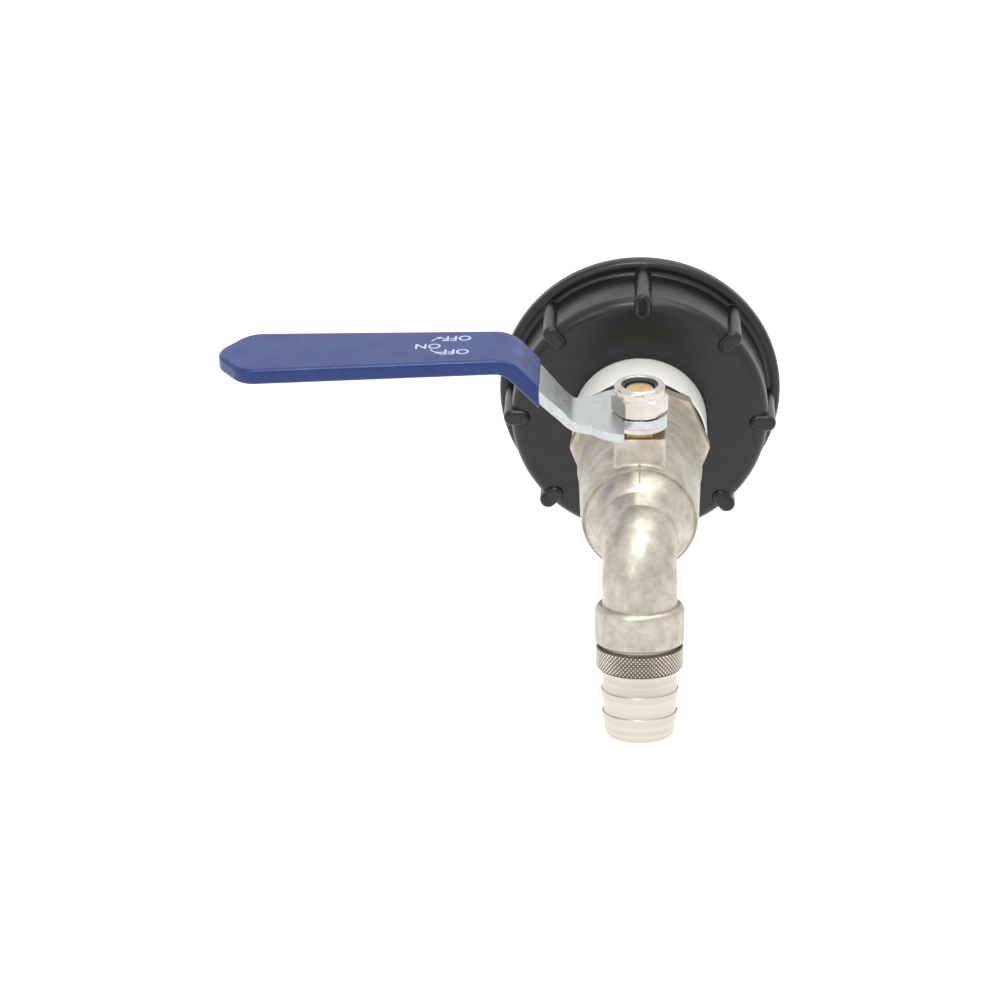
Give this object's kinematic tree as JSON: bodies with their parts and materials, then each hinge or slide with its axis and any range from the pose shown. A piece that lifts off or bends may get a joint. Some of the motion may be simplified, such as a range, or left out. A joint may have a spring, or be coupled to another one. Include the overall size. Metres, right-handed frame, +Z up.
{
  "type": "tank valve",
  "caption": "Tank outlet valve with a ribbed screw cap, a white threaded insert, a metal ball tap with a blue sleeved lever, and a bent spout that ends in a barbed hose tail.",
  "frame": {"origin": "centre of the coupling cap's mouth, on the axis of its tank thread", "axes": "+Y along the cap's axis into the tank, the way the tank's neck leaves the thread; +Z up along the valve's stem; +X to the right as seen from the outlet side, so the closed lever points to -X"},
  "size_m": [0.1508, 0.1256, 0.0969],
  "materials": {
    "cap_plastic": "satin moulded polypropylene",
    "seal_rubber": "matt rubber",
    "insert_nylon": "moulded white nylon",
    "nickelled_brass": "satin nickel plate on forged and turned brass",
    "seal_fluoroplastic": "white seat plastic",
    "plated_ball": "polished plate on brass",
    "bare_brass": "turned brass",
    "lever_steel": "bright plated sheet steel",
    "sleeve_vinyl": "gloss dipped vinyl",
    "nut_steel": "bright zinc plated steel",
    "ring_nylon": "dark nylon"
  },
  "bodies": {
    "tap": {"tap_body": "nickelled_brass", "inlet_connector": "nickelled_brass", "thread_insert": "insert_nylon", "sealing_gasket": "seal_rubber", "inlet_o_ring": "seal_rubber", "body_seal_ring": "seal_fluoroplastic", "rear_seat": "seal_fluoroplastic", "front_seat": "seal_fluoroplastic", "thrust_washer": "seal_fluoroplastic", "stem_packing": "seal_fluoroplastic", "gland_nut": "bare_brass"},
    "cap": {"coupling_cap": "cap_plastic"},
    "lever": {"lever_washer": "nut_steel", "lever_plate": "lever_steel", "lever_sleeve": "sleeve_vinyl", "lever_nut": "nut_steel", "nut_ring": "ring_nylon", "stem": "bare_brass", "ball": "plated_ball"},
    "tail_travel": {"tail_washer": "seal_rubber"},
    "tail": {"hose_tail": "nickelled_brass"}
  },
  "joints": [
    {"name": "cap_turn", "type": "hinge", "parent": "tap", "child": "cap", "pos_m": [0, -0.0123, 0], "axis": [0, 1, 0], "continuous": true},
    {"name": "lever_turn", "type": "hinge", "parent": "tap", "child": "lever", "pos_m": [0, -0.0803, 0.0268], "axis": [0, 0, 1], "range_deg": [0, 90]},
    {"name": "tail_travel", "type": "slide", "parent": "tap", "child": "tail_travel", "axis": [0, -0.1822, -0.9833], "range_m": [0, 0.0064]},
    {"name": "tail_turn", "type": "hinge", "parent": "tail_travel", "child": "tail", "pos_m": [0, -0.11216, -0.02342], "axis": [0, -0.1822, -0.9833], "range_deg": [0, 1260]}
  ],
  "couplings": [
    {"joint": "tail_travel", "follows": "tail_turn", "m_per_rad": 0.00028871}
  ]
}
